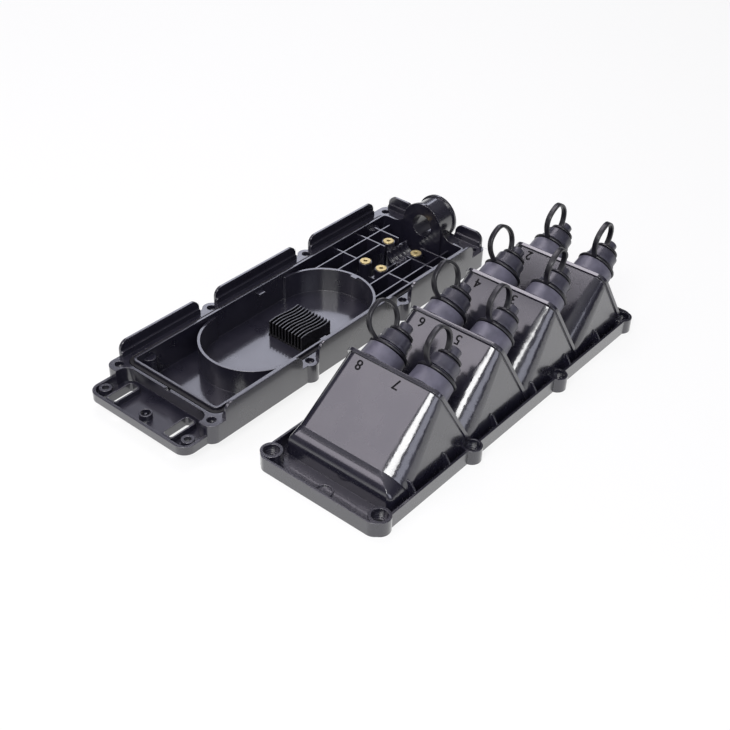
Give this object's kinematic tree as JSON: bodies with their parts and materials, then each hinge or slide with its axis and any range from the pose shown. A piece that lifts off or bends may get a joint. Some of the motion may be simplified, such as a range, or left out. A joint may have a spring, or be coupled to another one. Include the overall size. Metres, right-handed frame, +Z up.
{
  "type": "multiport service terminal",
  "caption": "Opened fibre service terminal: base tray with splice basin, mounting tab and cable gland, beside its stepped cover with sloped humps and capped, tethered ports.",
  "frame": {"origin": "bottom centre of the overall box, with both mouldings lying side by side", "axes": "+X from the mounting tab to the gland, +Y from the cover to the tray, +Z up"},
  "size_m": [0.3944, 0.2746, 0.1061],
  "materials": {
    "tray_plastic": "satin black moulding",
    "cover_plastic": "glossy black moulding",
    "port_plastic": "fine satin",
    "cap_plastic": "fine satin",
    "tether_rubber": "soft matt",
    "seal_rubber": "matt",
    "comb_rubber": "soft matt",
    "insert_brass": "machined"
  },
  "bodies": {
    "terminal": {"base_tray": "tray_plastic", "rim_seal": "seal_rubber", "splice_comb": "comb_rubber", "brass_inserts": "insert_brass", "cover_shell": "cover_plastic", "adapter_nuts": "port_plastic", "adapter_seals": "seal_rubber", "adapter_1": "port_plastic", "adapter_2": "port_plastic", "adapter_3": "port_plastic", "adapter_4": "port_plastic", "adapter_5": "port_plastic", "adapter_6": "port_plastic", "adapter_7": "port_plastic", "adapter_8": "port_plastic"},
    "strap_1": {"tether_1": "tether_rubber"},
    "cap_1": {"dust_cap_1": "cap_plastic", "cap_seal_1": "seal_rubber"},
    "strap_2": {"tether_2": "tether_rubber"},
    "cap_2": {"dust_cap_2": "cap_plastic", "cap_seal_2": "seal_rubber"},
    "strap_3": {"tether_3": "tether_rubber"},
    "cap_3": {"dust_cap_3": "cap_plastic", "cap_seal_3": "seal_rubber"},
    "strap_4": {"tether_4": "tether_rubber"},
    "cap_4": {"dust_cap_4": "cap_plastic", "cap_seal_4": "seal_rubber"},
    "strap_5": {"tether_5": "tether_rubber"},
    "cap_5": {"dust_cap_5": "cap_plastic", "cap_seal_5": "seal_rubber"},
    "strap_6": {"tether_6": "tether_rubber"},
    "cap_6": {"dust_cap_6": "cap_plastic", "cap_seal_6": "seal_rubber"},
    "strap_7": {"tether_7": "tether_rubber"},
    "cap_7": {"dust_cap_7": "cap_plastic", "cap_seal_7": "seal_rubber"},
    "strap_8": {"tether_8": "tether_rubber"},
    "cap_8": {"dust_cap_8": "cap_plastic", "cap_seal_8": "seal_rubber"}
  },
  "joints": [
    {"name": "cap_1_travel", "type": "slide", "parent": "terminal", "child": "strap_1", "axis": [0.8763, 0, 0.4818], "range_m": [0, 0.009], "deforming": ["tether_1"]},
    {"name": "cap_1_turn", "type": "hinge", "parent": "strap_1", "child": "cap_1", "pos_m": [0.159, -0.0963, 0.04682], "axis": [0.8763, 0, 0.4818], "range_deg": [0, 1080]},
    {"name": "cap_2_travel", "type": "slide", "parent": "terminal", "child": "strap_2", "axis": [0.8763, 0, 0.4818], "range_m": [0, 0.009], "deforming": ["tether_2"]},
    {"name": "cap_2_turn", "type": "hinge", "parent": "strap_2", "child": "cap_2", "pos_m": [0.159, -0.0513, 0.04682], "axis": [0.8763, 0, 0.4818], "range_deg": [0, 1080]},
    {"name": "cap_3_travel", "type": "slide", "parent": "terminal", "child": "strap_3", "axis": [0.8763, 0, 0.4818], "range_m": [0, 0.009], "deforming": ["tether_3"]},
    {"name": "cap_3_turn", "type": "hinge", "parent": "strap_3", "child": "cap_3", "pos_m": [0.08274, -0.0963, 0.05602], "axis": [0.8763, 0, 0.4818], "range_deg": [0, 1080]},
    {"name": "cap_4_travel", "type": "slide", "parent": "terminal", "child": "strap_4", "axis": [0.8763, 0, 0.4818], "range_m": [0, 0.009], "deforming": ["tether_4"]},
    {"name": "cap_4_turn", "type": "hinge", "parent": "strap_4", "child": "cap_4", "pos_m": [0.08274, -0.0513, 0.05602], "axis": [0.8763, 0, 0.4818], "range_deg": [0, 1080]},
    {"name": "cap_5_travel", "type": "slide", "parent": "terminal", "child": "strap_5", "axis": [0.8763, 0, 0.4818], "range_m": [0, 0.009], "deforming": ["tether_5"]},
    {"name": "cap_5_turn", "type": "hinge", "parent": "strap_5", "child": "cap_5", "pos_m": [0.00814, -0.0963, 0.05602], "axis": [0.8763, 0, 0.4818], "range_deg": [0, 1080]},
    {"name": "cap_6_travel", "type": "slide", "parent": "terminal", "child": "strap_6", "axis": [0.8763, 0, 0.4818], "range_m": [0, 0.009], "deforming": ["tether_6"]},
    {"name": "cap_6_turn", "type": "hinge", "parent": "strap_6", "child": "cap_6", "pos_m": [0.00814, -0.0513, 0.05602], "axis": [0.8763, 0, 0.4818], "range_deg": [0, 1080]},
    {"name": "cap_7_travel", "type": "slide", "parent": "terminal", "child": "strap_7", "axis": [0.8763, 0, 0.4818], "range_m": [0, 0.009], "deforming": ["tether_7"]},
    {"name": "cap_7_turn", "type": "hinge", "parent": "strap_7", "child": "cap_7", "pos_m": [-0.06646, -0.0963, 0.05602], "axis": [0.8763, 0, 0.4818], "range_deg": [0, 1080]},
    {"name": "cap_8_travel", "type": "slide", "parent": "terminal", "child": "strap_8", "axis": [0.8763, 0, 0.4818], "range_m": [0, 0.009], "deforming": ["tether_8"]},
    {"name": "cap_8_turn", "type": "hinge", "parent": "strap_8", "child": "cap_8", "pos_m": [-0.06646, -0.0513, 0.05602], "axis": [0.8763, 0, 0.4818], "range_deg": [0, 1080]}
  ],
  "couplings": [
    {"joint": "cap_1_travel", "follows": "cap_1_turn", "m_per_rad": 0.00047746},
    {"joint": "cap_2_travel", "follows": "cap_2_turn", "m_per_rad": 0.00047746},
    {"joint": "cap_3_travel", "follows": "cap_3_turn", "m_per_rad": 0.00047746},
    {"joint": "cap_4_travel", "follows": "cap_4_turn", "m_per_rad": 0.00047746},
    {"joint": "cap_5_travel", "follows": "cap_5_turn", "m_per_rad": 0.00047746},
    {"joint": "cap_6_travel", "follows": "cap_6_turn", "m_per_rad": 0.00047746},
    {"joint": "cap_7_travel", "follows": "cap_7_turn", "m_per_rad": 0.00047746},
    {"joint": "cap_8_travel", "follows": "cap_8_turn", "m_per_rad": 0.00047746}
  ]
}
